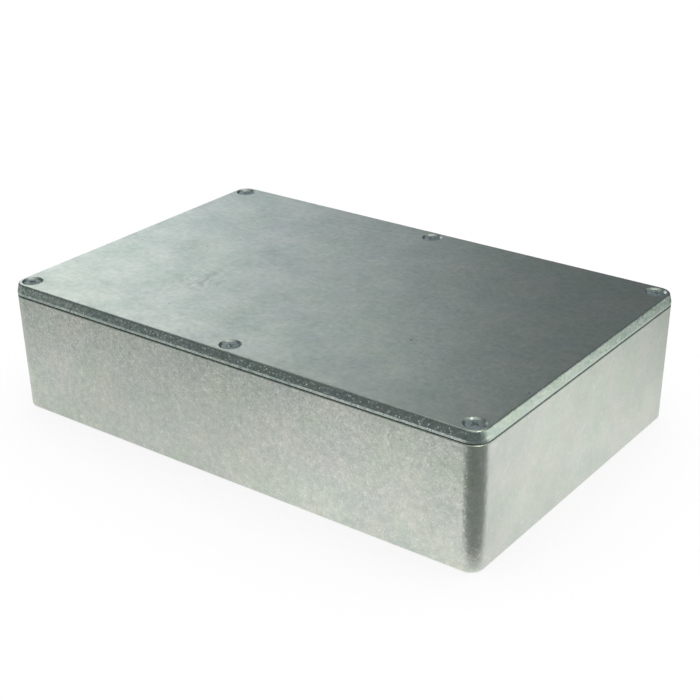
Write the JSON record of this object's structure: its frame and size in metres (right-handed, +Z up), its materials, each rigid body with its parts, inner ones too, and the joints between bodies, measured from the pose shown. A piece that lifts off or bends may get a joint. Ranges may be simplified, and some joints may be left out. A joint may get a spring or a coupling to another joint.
{
  "type": "electronics enclosure",
  "caption": "Low rectangular die-cast aluminium case, a deep drafted tray with a lapped flat lid held by recessed countersunk screws, with board guides inside.",
  "frame": {"origin": "under the middle of the base's flat bottom, on the plane that it stands on", "axes": "+X along the length, +Y across the width, +Z up out of the base through the lid"},
  "size_m": [0.222, 0.146, 0.055],
  "materials": {
    "cast_aluminium": "as cast and tumbled, satin with a mottled grey tone",
    "screw_steel": "zinc plated, slightly blue"
  },
  "bodies": {
    "base": {"base": "cast_aluminium"},
    "lid": {"lid": "cast_aluminium"},
    "screws": {"lid_screws": "screw_steel"}
  },
  "joints": [
    {"name": "lid_lift", "type": "slide", "parent": "base", "child": "lid", "axis": [0, 0, 1], "range_m": [0, 0.12]},
    {"name": "screws_out", "type": "slide", "parent": "lid", "child": "screws", "axis": [0, 0, 1], "range_m": [0, 0.02]}
  ]
}
